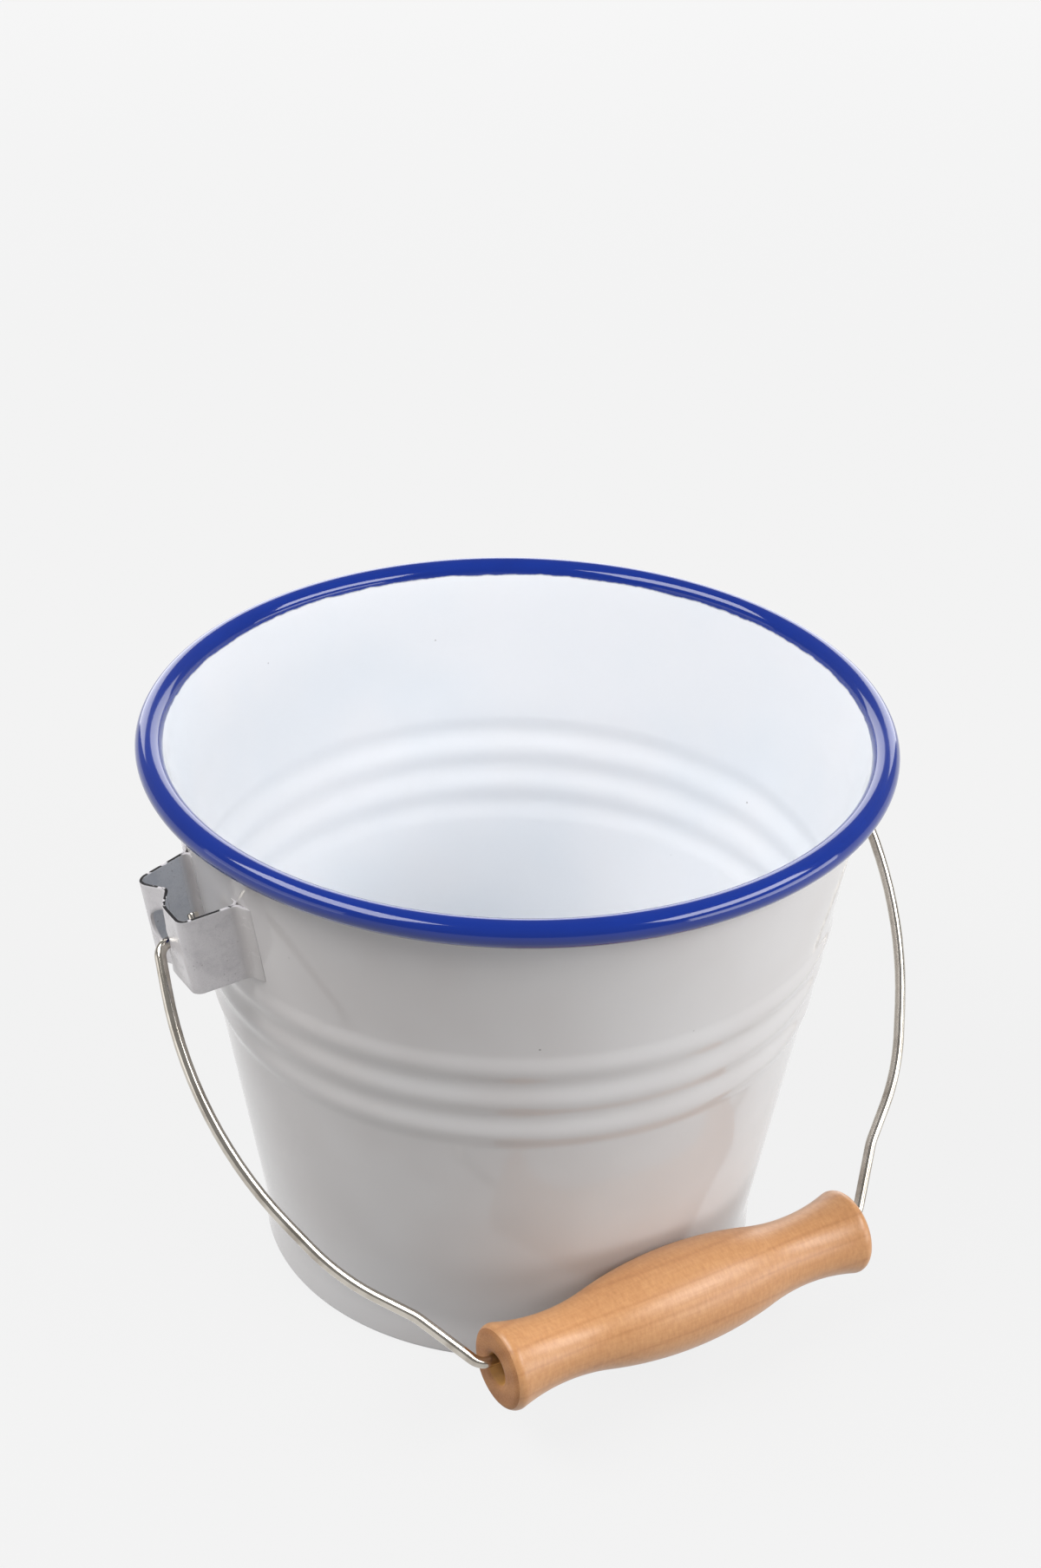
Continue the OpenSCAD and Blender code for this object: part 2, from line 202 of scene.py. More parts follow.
# %% Shader helper
class Field:
    """An output socket in a material. Arithmetic on fields adds Math nodes to the tree."""

    def __init__(self, socket):
        self.socket = socket

    def node(self, kind, settings, inputs, out=0):
        """Adds any node to the tree and returns one of its outputs."""
        tree = self.socket.id_data
        made = tree.nodes.new("ShaderNode" + kind)
        for name, value in settings.items():
            if name == "stops":
                stops = made.color_ramp.elements
                while len(stops) < len(value):
                    stops.new(0)
                for stop, (position, colour) in zip(stops, value):
                    stop.position, stop.color = position, colour
            else:
                setattr(made, name, value)
        for key, value in inputs.items():
            if isinstance(value, Field):
                tree.links.new(value.socket, made.inputs[key])
            else:
                made.inputs[key].default_value = value
        return Field(made.outputs[out])

    def math(self, operation, first, second=0.0):
        """A Math node on fields or numbers."""
        return self.node("Math", {"operation": operation}, {0: first, 1: second})

    def __add__(self, other):
        return self.math("ADD", self, other)

    def __radd__(self, other):
        return self.math("ADD", other, self)

    def __sub__(self, other):
        return self.math("SUBTRACT", self, other)

    def __rsub__(self, other):
        return self.math("SUBTRACT", other, self)

    def __mul__(self, other):
        return self.math("MULTIPLY", self, other)

    def __rmul__(self, other):
        return self.math("MULTIPLY", other, self)

    def __pow__(self, other):
        return self.math("POWER", self, other)

    def fade(self, low, high):
        """0 where the field is below low, 1 above high, smooth between."""
        return self.node("MapRange", {"interpolation_type": "SMOOTHSTEP"},
                         {"Value": self, "From Min": low, "From Max": high})

    def mix(self, first, second):
        """The first colour where the field is 0, the second where it is 1."""
        return self.node("Mix", {"data_type": "RGBA"}, {0: self, 6: first, 7: second}, out=2)

    def noise(self, scale, detail=2.0, roughness=0.5):
        """Noise over a vector field, about 0 to 1, with scale in waves to the metre."""
        return self.node("TexNoise", {}, {"Vector": self, "Scale": scale, "Detail": detail,
                                          "Roughness": roughness})

    def bump(self, height):
        """A normal from a height field, whose step from 0 to 1 is so many metres high."""
        return self.node("Bump", {}, {"Height": self, "Distance": height})

    def axes(self):
        """The three numbers of a vector field."""
        return [self.node("SeparateXYZ", {}, {0: self}, out=i) for i in range(3)]


print("shader helper ready")

# %% [markdown]
# ## Starting a finish
# Each finish is a Principled shader with a few constants, and fields that feed the rest. The
# fields read Object coordinates, so a pattern stays on its piece when the piece moves. Colours
# are written as they look on screen, and `srgb` turns them into the linear numbers of shaders.

# %% Finish helpers
def new_finish(name, constants):
    """A new material with its constants set: returns it, its shader and its coordinates."""
    made = bpy.data.materials.new(name)
    made.use_nodes = True
    shader = made.node_tree.nodes["Principled BSDF"]
    for socket, value in constants.items():
        shader.inputs[socket].default_value = value
    coords = made.node_tree.nodes.new("ShaderNodeTexCoord")
    return made, shader, Field(coords.outputs["Object"])


def feed(shader, links):
    """Links fields to the shader's sockets."""
    for socket, field in links.items():
        shader.id_data.links.new(field.socket, shader.inputs[socket])


def srgb(red, green, blue):
    """A colour as seen on screen, 0 to 255, in the linear numbers that shaders use."""
    parts = [c / 255 for c in (red, green, blue)]
    return [c / 12.92 if c <= 0.04045 else ((c + 0.055) / 1.055) ** 2.4 for c in parts] + [1.0]


print("finish helpers ready")

# %% [markdown]
# ## Sizes of the pail
# The outer sizes come from the frame. The rest is what a sheet worker would ask for: the gauge
# of the sheet, the bead, the foot and the hem. From these follow the lean of the wall and the
# place where it runs into the bead.

# %% Pail sizes
SHEET = 1.0 * MM
EDGE_ROUND = 0.25 * MM
BEAD = 8.6 * MM
FOOT_RADIUS = 83.0 * MM
FOOT_HEIGHT = 12.6 * MM
FOOT_BEND = 50.0 * MM
FOOT_BEND_ROOM = 1.2
HEM_GAP = 0.05 * MM
LATHE_STEPS = 256

wall_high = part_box("pail_wall")[1]
bead_centre = Vector((wall_high.x - BEAD / 2, 0, wall_high.z - BEAD / 2))
bead_radius = (BEAD - SHEET) / 2
foot_mid = Vector((FOOT_RADIUS - SHEET / 2, 0, FOOT_HEIGHT))
slant = bead_centre - foot_mid
lean = atan2(slant.x, slant.z) - asin(bead_radius / slant.length)
up_wall = Vector((sin(lean), 0, cos(lean)))
out_wall = Vector((cos(lean), 0, -sin(lean)))
wall_top = bead_centre - bead_radius * out_wall
wall_start = foot_mid + FOOT_BEND_ROOM * FOOT_BEND * tan(lean / 2) * up_wall
hem_half = SHEET + HEM_GAP


def wall_radius(height):
    """Radius of the outer face of the wall at a height."""
    return foot_mid.x + (height - FOOT_HEIGHT) * tan(lean) + SHEET / 2 / cos(lean)


print("wall leans", round(lean * 180 / pi, 2), "degrees")

# %% [markdown]
# ## White enamel
# Enamel is glass melted on to steel: a smooth, slightly wavy skin over a milky ground, with a
# few pinholes. A plain white with low roughness would be close, but it would look like plastic.
# So slow noise moves the white between two tones, rare Voronoi cells make the pinholes, and a
# very low bump bends the reflections, as orange peel does on the real thing. The whites inside
# the pail are painted lighter and cooler than the outer ones, as painted light.

# %% White enamel
WHITE = srgb(216, 214, 214)
WHITE_WARM = srgb(209, 205, 204)
# Painted light: the whites inside the pail are painted lighter and cooler than the outer ones, for the
# brighter light inside it.
INSIDE_WHITE_PAINTED_LIGHT = srgb(237, 238, 241)
INSIDE_COOL_PAINTED_LIGHT = srgb(231, 235, 240)
PINHOLE = srgb(150, 148, 146)
ENAMEL_GLASS = {"IOR": 1.5, "Specular IOR Level": 0.3, "Coat IOR": 1.6, "Coat Roughness": 0.03}
PINHOLE_CELLS = 95.0
PEEL_DEPTH = 0.07 * MM


def enamel_white(coords, first, second):
    """Colour of a white enamel: slow clouds between two whites, and a few pinholes."""
    milky = coords.noise(18.0).fade(0.3, 0.75).mix(first, second)
    cells = coords.node("TexVoronoi", {}, {"Vector": coords, "Scale": PINHOLE_CELLS})
    rare = coords.noise(40.0).fade(0.6, 0.66)
    return ((1 - cells.fade(0.02, 0.05)) * rare).mix(milky, PINHOLE)


def enamel_relief(coords):
    """Orange peel: a slow wave and a finer one."""
    return (coords.noise(30.0, 1.0) * 0.8 + coords.noise(130.0, 1.0) * 0.2).bump(PEEL_DEPTH)


def enamel_gloss(coords):
    """Roughness of the glass, a little uneven."""
    return 0.07 + 0.05 * coords.noise(50.0)


def white_enamel(name, first, second):
    """A finish of white enamel alone."""
    made, shader, coords = new_finish(name, ENAMEL_GLASS)
    feed(shader, {"Base Color": enamel_white(coords, first, second),
                  "Normal": enamel_relief(coords), "Roughness": enamel_gloss(coords)})
    return made


wall_enamel = white_enamel("wall_enamel", WHITE, WHITE_WARM)
# The pan gets the lighter, cooler inside whites, which are painted light.
pan_enamel = white_enamel("pan_enamel", INSIDE_WHITE_PAINTED_LIGHT, INSIDE_COOL_PAINTED_LIGHT)
print("finishes:", wall_enamel.name, pan_enamel.name)

# %% [markdown]
# ## Blue rim
# The inside of the wall carries the blue of the rim as well as its own white, because the strip
# of sheet turns outwards there, and its inner face becomes the skin of the bead. The blue is
# brushed on and ends in a ragged line. A second material could start at an edge of the mesh, but
# no edge follows that line, so it is worked out from the height, with noise, and with a thin
# grey haze below it where the brush ran dry.

# %% Blue rim
BLUE = srgb(4, 46, 142)
BLUE_DEEP = srgb(3, 37, 124)
BLUE_HAZE = srgb(120, 125, 150)
BLUE_LIFT = 0.3 * MM
LINE_SOFT = 0.1 * MM
HAZE_LOW, HAZE_HIGH = 0.5 * MM, 0.2 * MM
RAGGED, WANDER = 1.4 * MM, 1.0 * MM

rim_enamel, shader, coords = new_finish("rim_enamel", ENAMEL_GLASS)
x, y, z = coords.axes()
radius = (x * x + y * y) ** 0.5
bead_inside = bead_centre.x - bead_radius
blue_line = bead_centre.z + BLUE_LIFT
height = z - ((coords.noise(150.0, 3.0, 0.6) - 0.5) * RAGGED + (coords.noise(35.0) - 0.5) * WANDER)
on_wall = 1 - radius.fade(bead_inside - LINE_SOFT, bead_inside + LINE_SOFT)
on_bead = z.fade(bead_centre.z - BEAD, bead_centre.z - 0.9 * BEAD)
below_line = 1 - height.fade(blue_line - LINE_SOFT, blue_line + LINE_SOFT)
below_haze = 1 - height.fade(blue_line - HAZE_LOW, blue_line - HAZE_HIGH)
blue_coat = on_bead * (1 - on_wall * below_line)
haze = on_bead * (1 - on_wall * below_haze)
# The inside of the wall gets the lighter, cooler inside whites, which are painted light.
white = enamel_white(coords, INSIDE_WHITE_PAINTED_LIGHT, INSIDE_COOL_PAINTED_LIGHT)
blue = coords.noise(40.0).mix(BLUE, BLUE_DEEP)
feed(shader, {"Base Color": blue_coat.mix((0.6 * haze).mix(white, BLUE_HAZE), blue),
              "Coat Weight": 0.4 * blue_coat,
              "Normal": enamel_relief(coords), "Roughness": enamel_gloss(coords)})
print("finish:", rim_enamel.name)

# %% [markdown]
# ## The wall of the pail
# The wall is one strip of sheet, so it is drawn as its middle line: up and round the hem, up
# the foot, along the ribs, and round the bead. The lathe turns the line into a skin and a
# Solidify modifier gives it the gauge of the sheet. Drawing both faces would be twice the work
# and would not keep the gauge even round the curl. Solidify also gives the inner face the next
# material, which is the one with the blue.

# %% Pail wall
HEM_HEIGHT = 5.5 * MM
HEM_BEND_SHARE = 0.9
RIB_COUNT, RIB_STEPS = 3, 14
RIB_PITCH = 13.5 * MM
RIB_HEIGHT = 0.9 * MM
RIB_DROP = 61.5 * MM
CURL_GAP = 0.4 * MM
CURL_STEPS = 36
PLAIN_STEPS = 8

hem_bend = HEM_BEND_SHARE * hem_half
hem_mid = foot_mid.x - 2 * hem_half
hem_level = SHEET / 2
foot_path = [Vector((hem_mid, 0, HEM_HEIGHT)), Vector((hem_mid, 0, hem_level)),
             Vector((foot_mid.x, 0, hem_level)), foot_mid, wall_start]
rib_middle = (wall_high.z - RIB_DROP - wall_start.z) / cos(lean)
rib_start = rib_middle - (RIB_COUNT - 0.5) * RIB_PITCH
curl = 2 * pi - acos((BEAD / 2 - SHEET - CURL_GAP) / (BEAD / 2))

bm = bmesh.new()
end = [bm.verts.new(foot_path[0])]
end = follow(bm, end, foot_path, [hem_bend, hem_bend, FOOT_BEND], Y)
end = push(bm, end, rib_start * up_wall, PLAIN_STEPS)
before = 0.0
for step in range(1, RIB_COUNT * RIB_STEPS + 1):
    rise = RIB_HEIGHT * (1 - cos(2 * pi * step / RIB_STEPS)) / 2
    end = push(bm, end, RIB_PITCH / RIB_STEPS * up_wall + (rise - before) * out_wall)
    before = rise
end = push(bm, end, wall_top - end[0].co, PLAIN_STEPS)
bend(bm, end, bead_centre, Y, curl, CURL_STEPS)
lathe(bm, Z, LATHE_STEPS)
foot_face = min(bm.faces, key=lambda f: abs(f.calc_center_median().z - FOOT_HEIGHT))
point_out(bm, foot_face, foot_face.calc_center_median())
pail_wall = piece(bm, "wall", "pail", "pail_wall", [wall_enamel, rim_enamel])
thicken(pail_wall, SHEET, EDGE_ROUND)
pail_wall.modifiers["sheet"].material_offset = 1

# %% [markdown]
# ## The bottom pan
# The bottom is a shallow dish pushed up into the foot, and its flange is caught in the hem. It
# is drawn and turned like the wall. The enamel runs into the corner between them, so a cove is
# drawn there as a second line. It lies in the sheets of the pan and the wall at its ends.

# %% Bottom pan
PAN_LIFT = 12.0 * MM
PAN_BEND = 4.0 * MM
PAN_FLANGE_FOOT = 2.0 * MM
COVE = 5.0 * MM
COVE_RUN, COVE_RISE = 9.0 * MM, 10.0 * MM
COVE_LIFT = 0.05 * MM
COVE_CORNER_INSET, COVE_TOP_INSET = 0.4 * MM, 0.58 * MM

pan_level = PAN_LIFT - SHEET / 2
flange_mid = foot_mid.x - hem_half
pan_path = [Vector((0, 0, pan_level)), Vector((flange_mid, 0, pan_level)),
            Vector((flange_mid, 0, PAN_FLANGE_FOOT))]
cove_level = pan_level + COVE_LIFT
cove_top = pan_level + COVE_RISE
cove_path = [Vector((foot_mid.x - COVE_RUN, 0, cove_level)),
             Vector((foot_mid.x - COVE_CORNER_INSET, 0, cove_level)),
             Vector((wall_radius(cove_top) - COVE_TOP_INSET, 0, cove_top))]

bm = bmesh.new()
follow(bm, [bm.verts.new(pan_path[0])], pan_path, [PAN_BEND], Y)
follow(bm, [bm.verts.new(cove_path[0])], cove_path, [COVE], Y)
lathe(bm, Z, LATHE_STEPS)
bottom_pan = piece(bm, "pan", "pail", "bottom_pan", [pan_enamel])
thicken(bottom_pan, SHEET, EDGE_ROUND)

# %% [markdown]
# ## Enamel on the ears
# The ears get a thinner, greyer coat than the wall, with fine dark specks where the steel shows
# through. The back of the strap, inside the ear, is painted lighter and bluer than the front, as
# painted light that brightens the shaded inside of the ear. Where an ear meets the wall the two
# coats run together, so the colour is mixed by the distance from the wall, which is worked out
# from the lean of the cone. On the sheared upper edge the enamel burns off in the kiln and leaves
# black scale. Painting that in by height would also darken the faces beside it, so the cut edge
# gets a material of its own.

# %% Ear finishes
EAR_WHITE = srgb(224, 221, 223)
EAR_GREY = srgb(203, 200, 203)
# Painted light: the back of the strap is painted lighter and bluer than its front, to brighten the
# shaded inside of the ear.
EAR_INSIDE_PAINTED_LIGHT = srgb(228, 233, 240)
EAR_INSIDE_PAINTED_LIGHT_DULL = srgb(208, 214, 224)
EAR_SCALE = srgb(38, 36, 38)
MELTED, CLEAR_OF_WALL = 1.2 * MM, 4.5 * MM
SCALE_LOW, SCALE_HIGH = wall_high.z - 36.0 * MM, wall_high.z - 31.0 * MM
SCALE_NEAR, SCALE_FAR = 2.0 * MM, 3.0 * MM


def off_wall(coords):
    """Distance from the outer face of the wall, outwards."""
    x, y, z = coords.axes()
    return (x * x + y * y) ** 0.5 - z * tan(lean) - wall_radius(0)


def thin_enamel(name, first, second):
    """A thin grey coat with fine dark specks, which runs into the colour of the wall."""
    made, shader, coords = new_finish(name, ENAMEL_GLASS)
    thin = coords.noise(160.0, 4.0, 0.65).fade(0.45, 0.75)
    speck = coords.noise(900.0).fade(0.66, 0.72) * coords.noise(110.0).fade(0.4, 0.65)
    frost = coords.noise(2200.0, 1.0).fade(0.45, 0.7)
    strap = (0.3 * speck + 0.06 * frost).mix(thin.mix(first, second), EAR_SCALE)
    clear = off_wall(coords).fade(MELTED, CLEAR_OF_WALL)
    feed(shader, {"Base Color": clear.mix(WHITE_WARM, strap), "Normal": enamel_relief(coords),
                  "Roughness": 0.18 + 0.2 * thin})
    return made


ear_enamel = thin_enamel("ear_enamel", EAR_WHITE, EAR_GREY)
# The back of the strap gets the lighter, bluer colours, which are painted light.
ear_inside_painted_light = thin_enamel("ear_inside_painted_light", EAR_INSIDE_PAINTED_LIGHT, EAR_INSIDE_PAINTED_LIGHT_DULL)

ear_edge, shader, coords = new_finish("ear_edge", ENAMEL_GLASS)
height = coords.axes()[2]
upper_edge = height.fade(SCALE_LOW, SCALE_HIGH) * off_wall(coords).fade(SCALE_NEAR, SCALE_FAR)
burnt = coords.noise(260.0, 3.0, 0.6).fade(0.4, 0.46) * upper_edge
feed(shader, {"Base Color": burnt.mix(EAR_WHITE, EAR_SCALE), "Roughness": 0.25 + 0.3 * burnt})
print("finishes:", ear_enamel.name, ear_inside_painted_light.name, ear_edge.name)

# %% [markdown]
# ## The strap of an ear
# Each ear is a strap folded like a hat: two flanges on the wall, two leaning sides and a front.
# It is drawn from above as one line, and its corners are worked out so that each flange lies on
# the curve of the wall. The ends of the flanges run out on to the wall, and a fillet is drawn in
# the corner behind each side, because the enamel fills these joints. A Boolean union with the
# wall would join them too, but it would leave sharp seams.

# %% Ear strap
STRAP = 1.0 * MM
EAR_DROP = 25.0 * MM
EAR_HEIGHT = 27.4 * MM
EAR_WIDTH = 29.6 * MM
EAR_OUT = 17.6 * MM
EAR_SPLAY = radians(9.5)
EAR_FLANGE = 5.5 * MM
EAR_BEND, EAR_BEND_STEPS = 3.0 * MM, 6
WELD_GAP = 0.05 * MM
FLANGE_RUNOUT, RUNOUT_DROP = 3.0 * MM, 1.0 * MM
FILLET, FILLET_REACH = 2.4 * MM, 4.2 * MM
FILLET_INSET, FILLET_SINK = 0.06 * MM, 0.1 * MM
FRONT_STEPS = 40
ON_FRONT = 0.01 * MM

ear_foot_height = wall_high.z - EAR_DROP - EAR_HEIGHT * cos(lean)
ear_curve = wall_radius(wall_high.z - EAR_DROP) / cos(lean)
front_corner = Vector((EAR_OUT - STRAP / 2, EAR_WIDTH / 2 - STRAP / 2, 0))
flange_turn = asin((EAR_WIDTH / 2 + EAR_OUT * tan(EAR_SPLAY) + EAR_FLANGE / 2) / ear_curve)
side_gap = (front_corner.x + ear_curve) * cos(flange_turn) + front_corner.y * sin(flange_turn)
side_length = (side_gap - ear_curve - WELD_GAP - STRAP / 2) / cos(EAR_SPLAY + flange_turn)
base_corner = front_corner + side_length * Vector((-cos(EAR_SPLAY), sin(EAR_SPLAY), 0))
flange_end = base_corner + EAR_FLANGE * Vector((-sin(flange_turn), cos(flange_turn), 0))


def on_front(v):
    """True for a vertex of the flat front, before the groove is pressed."""
    return abs(v.co.x - front_corner.x) < ON_FRONT


def draw_strap(bm):
    """The strap seen from above, as one line from flange to flange."""
    mirrored = [Vector((p.x, -p.y, 0)) for p in (flange_end, base_corner, front_corner)]
    path = mirrored + [front_corner, base_corner, flange_end]
    follow(bm, [bm.verts.new(path[0])], path, [EAR_BEND] * 4, Z, EAR_BEND_STEPS)
    for v in [v for v in bm.verts if len(v.link_edges) == 1]:
        flange = v.link_edges[0]
        bmesh.utils.edge_split(flange, v, FLANGE_RUNOUT / flange.calc_length())
        side = 1 if v.co.y > 0 else -1
        v.co -= RUNOUT_DROP * Vector((cos(flange_turn), side * sin(flange_turn), 0))
    front = [e for e in bm.edges if all(on_front(v) for v in e.verts)]
    bmesh.ops.subdivide_edges(bm, edges=front, cuts=FRONT_STEPS)


def draw_fillets(bm):
    """The enamel in the corner between each side of the ear and the wall."""
    for turn in (1, -1):
        side = Vector((-cos(EAR_SPLAY), turn * sin(EAR_SPLAY), 0))
        wall = Vector((sin(flange_turn), -turn * cos(flange_turn), 0))
        base = Vector((base_corner.x, turn * base_corner.y, 0))
        inwards = Vector((-sin(EAR_SPLAY), -turn * cos(EAR_SPLAY), 0))
        corner = base + STRAP / cos(EAR_SPLAY + flange_turn) * side + FILLET_INSET * inwards
        path = [corner - FILLET_REACH * side, corner, corner + FILLET_REACH * wall - FILLET_SINK * X]
        follow(bm, [bm.verts.new(path[0])], path, [FILLET], Z, EAR_BEND_STEPS)


print("each side of an ear is", round(side_length / MM, 1), "mm deep")

# %% [markdown]
# ## Groove and eye
# The front has a groove pressed into it, deeper at the top, where the wire turns up, and a round
# eye punched through it. The groove is made by moving the vertices back, as a die would. The
# faces inside the eye are deleted, and the edge of the hole is moved on to a true circle. A
# Boolean would cut the hole as well, but it leaves long thin faces in the curve of the groove.

# %% Groove and eye
GROOVE_TOP, GROOVE_FOOT = 4.3 * MM, 1.2 * MM
GROOVE_SLOPE = radians(34)
GROOVE_ROUND = 2.0 * MM
GROOVE_BLEND = 0.7 * MM
EYE = 13.0 * MM
EYE_LIFT = 13.5 * MM
EYE_SHIFT = 4.0 * MM
EYE_RIM_REACH = 1.2


def groove_depth(across, height):
    """How far the front is pressed in, at a place across the ear and up it."""
    floor = GROOVE_FOOT + (GROOVE_TOP - GROOVE_FOOT) * height / EAR_HEIGHT
    round_part = min(abs(across), GROOVE_ROUND * sin(GROOVE_SLOPE))
    rise = GROOVE_ROUND - sqrt(GROOVE_ROUND ** 2 - round_part ** 2)
    rise += (abs(across) - round_part) * tan(GROOVE_SLOPE)
    pressed = floor - rise
    return (pressed + sqrt(pressed ** 2 + GROOVE_BLEND ** 2)) / 2


def press_groove(bm):
    """Presses the groove into the front."""
    for v in [v for v in bm.verts if on_front(v)]:
        v.co.x -= groove_depth(v.co.y - EYE_SHIFT, v.co.z)


def from_eye(point):
    """Distance from the axis of the eye."""
    return hypot(point.y - EYE_SHIFT, point.z - EYE_LIFT)


def punch_eye(bm):
    """Deletes the faces in the eye and makes the edge of the hole round."""
    front = [f for f in bm.faces if f.calc_center_median().x > EAR_OUT / 2]
    inner = [f for f in front if from_eye(f.calc_center_median()) < EYE / 2]
    bmesh.ops.delete(bm, geom=inner, context="FACES")
    rim = [v for v in bm.verts if v.is_boundary and v.co.x > EAR_OUT / 2
           and from_eye(v.co) < EYE_RIM_REACH * EYE / 2]
    for v in rim:
        share = EYE / 2 / from_eye(v.co)
        v.co.y = EYE_SHIFT + (v.co.y - EYE_SHIFT) * share
        v.co.z = EYE_LIFT + (v.co.z - EYE_LIFT) * share


print("groove", round(groove_depth(0, EAR_HEIGHT) / MM, 1), "mm deep at the top of the ear")

# %% [markdown]
# ## The two ears
# The line of the strap is pushed up in thin rows, so that the groove has vertices to move, and
# the ear is then leaned on to the wall. The left ear is the right one mirrored, by a scale of -1
# along X. That turns the faces inside out, so they are set right before the sheet gets its
# thickness. Solidify gives the back of the strap the second material and the cut edge the third,
# and the Bevel round that edge keeps the first.

# %% Ears
EAR_ROWS = 34

ear_place = (Matrix.Translation((wall_radius(ear_foot_height), 0, ear_foot_height))
             @ Matrix.Rotation(lean, 4, "Y"))


def ear(name, node, side):
    """One ear, on the right for a side of 1 and on the left for -1."""
    bm = bmesh.new()
    draw_strap(bm)
    draw_fillets(bm)
    push(bm, bm.verts[:] + bm.edges[:], EAR_HEIGHT * Z, EAR_ROWS)
    press_groove(bm)
    punch_eye(bm)
    bmesh.ops.transform(bm, matrix=ear_place, verts=bm.verts)
    bmesh.ops.scale(bm, vec=(side, 1, 1), verts=bm.verts)
    bmesh.ops.recalc_face_normals(bm, faces=bm.faces)
    front = max(bm.faces, key=lambda f: side * f.calc_center_median().x)
    point_out(bm, front, side * X)
    # The second material, on the back of the strap, carries painted light.
    made = piece(bm, name, "pail", node, [ear_enamel, ear_inside_painted_light, ear_edge])
    thicken(made, STRAP, EDGE_ROUND)
    made.modifiers["sheet"].material_offset = 1
    made.modifiers["sheet"].material_offset_rim = 2
    made.modifiers["edge"].material = 0


ear("ear_r", "ear_right", 1)
ear("ear_l", "ear_left", -1)

# %% [markdown]
# ## Plated wire
# The wire is drawn steel with a bright plating that has gone a little dull in patches. Metal has
# no colour of its own under the reflection, so Metallic is 1 and the base colour is the tint of
# the reflection. Two noises, one of them very fine, roughen it and break its long highlights.

# %% Wire finish
STEEL = srgb(206, 200, 190)
STEEL_DULL = srgb(168, 160, 149)
WIRE_RELIEF = 0.002 * MM

plated_wire, shader, coords = new_finish("plated_wire", {"Metallic": 1.0})
tarnish = coords.noise(70.0, 4.0, 0.6).fade(0.42, 0.72)
drawn = coords.noise(1500.0)
feed(shader, {"Base Color": tarnish.mix(STEEL, STEEL_DULL),
              "Roughness": 0.08 + 0.1 * tarnish + 0.04 * drawn,
              "Normal": (drawn * 0.2 + coords.noise(200.0) * 0.8).bump(WIRE_RELIEF)})
print("finish:", plated_wire.name)

# %% [markdown]
# ## The path of the bail
# The bail is one length of wire, bent flat: a joggle on each side of the grip, a long bowed arm,
# and a hook that goes through the eye and turns up behind it. The two halves mirror each other,
# so one half is enough, as corners in the bail's own plane, measured from the pivot. The pivot
# and the grip come from the frame, and with them the angle at which the bail hangs. Only the
# tail behind the eye is shorter than in the CAD model, so that the ear hides more of it.

# %% Bail path
WIRE = 3.6 * MM
ARM_GAP = 0.4 * MM
HOOK_BEND = 4.5 * MM
TAIL_GAP = 5.0 * MM
TAIL_LENGTH = 6.6 * MM
TAIL_BEND = WIRE
ARM_BOW, BOW_RATIO = 8.6 * MM, 0.36
SHOULDER_IN, SHOULDER_RATIO = 20.1 * MM, 0.74
SHOULDER_SHARE, ARM_SHARE = 0.5, 0.75
JOGGLE_RISE, JOGGLE_SPREAD, JOGGLE_BEND = 20.8 * MM, 15.0 * MM, 23.0 * MM
NECK_BEND = 7.0 * MM
END_GAP = 0.6 * MM
BORE = 10.0 * MM
SEAT_GAP = 0.35 * MM

pivot = Vector(next(j["pos_m"] for j in frame["joints"] if j["name"] == "bail_swing"))
grip_low, grip_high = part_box("wooden_grip")
grip_centre = (grip_low + grip_high) / 2
grip_half = grip_high.x
grip_arm = grip_centre - pivot
bail_reach = grip_arm.length - (BORE / 2 - WIRE / 2 - SEAT_GAP)
hang = Matrix.Translation(pivot) @ Matrix.Rotation(atan2(grip_arm.z, grip_arm.y), 4, "X")


def share_bend(before, corner, after, share):
    """Radius of a bend that takes a share of the shorter straight beside the corner."""
    way, out = corner - before, after - corner
    return share * min(way.length, out.length) / tan(way.angle(out) / 2)


ear_front = wall_radius(ear_foot_height) + EYE_LIFT * sin(lean) + EAR_OUT * cos(lean)
hook_x = ear_front + WIRE / 2 + ARM_GAP
tail_x = wall_radius(pivot.z) + WIRE / 2 + TAIL_GAP
neck_trim = NECK_BEND * tan(atan2(JOGGLE_RISE, JOGGLE_SPREAD) / 2)
neck = Vector((grip_half + END_GAP + neck_trim, bail_reach, 0))
joggle = neck + Vector((JOGGLE_SPREAD, -JOGGLE_RISE, 0))
shoulder = Vector((hook_x - SHOULDER_IN, SHOULDER_RATIO * bail_reach, 0))
arm = Vector((hook_x + ARM_BOW, BOW_RATIO * bail_reach, 0))
hook = Vector((hook_x, 0, 0))
tail = Vector((tail_x, 0, 0))
tail_end = Vector((tail_x, -TAIL_LENGTH, 0))
half_path = [Vector((0, bail_reach, 0)), neck, joggle, shoulder, arm, hook, tail, tail_end]
half_bends = [NECK_BEND, JOGGLE_BEND, share_bend(joggle, shoulder, arm, SHOULDER_SHARE),
              share_bend(shoulder, arm, hook, ARM_SHARE), HOOK_BEND, TAIL_BEND]
print("the bail reaches", round(bail_reach / MM, 1), "mm from its pivot")

# %% [markdown]
# ## Bending the wire
# A ring of edges is drawn along the half path with the same `follow`, so each bend is a true
# bend. A curve with a bevel would do as well, but it evens out the tight bends of the hook. The
# cut end is closed and its edge is taken off. Then the half is mirrored and turned to where it
# hangs.

# %% Bail wire
WIRE_SIDES, WIRE_STEPS = 24, 14
END_BEVEL, END_SEGMENTS = 0.5 * MM, 3

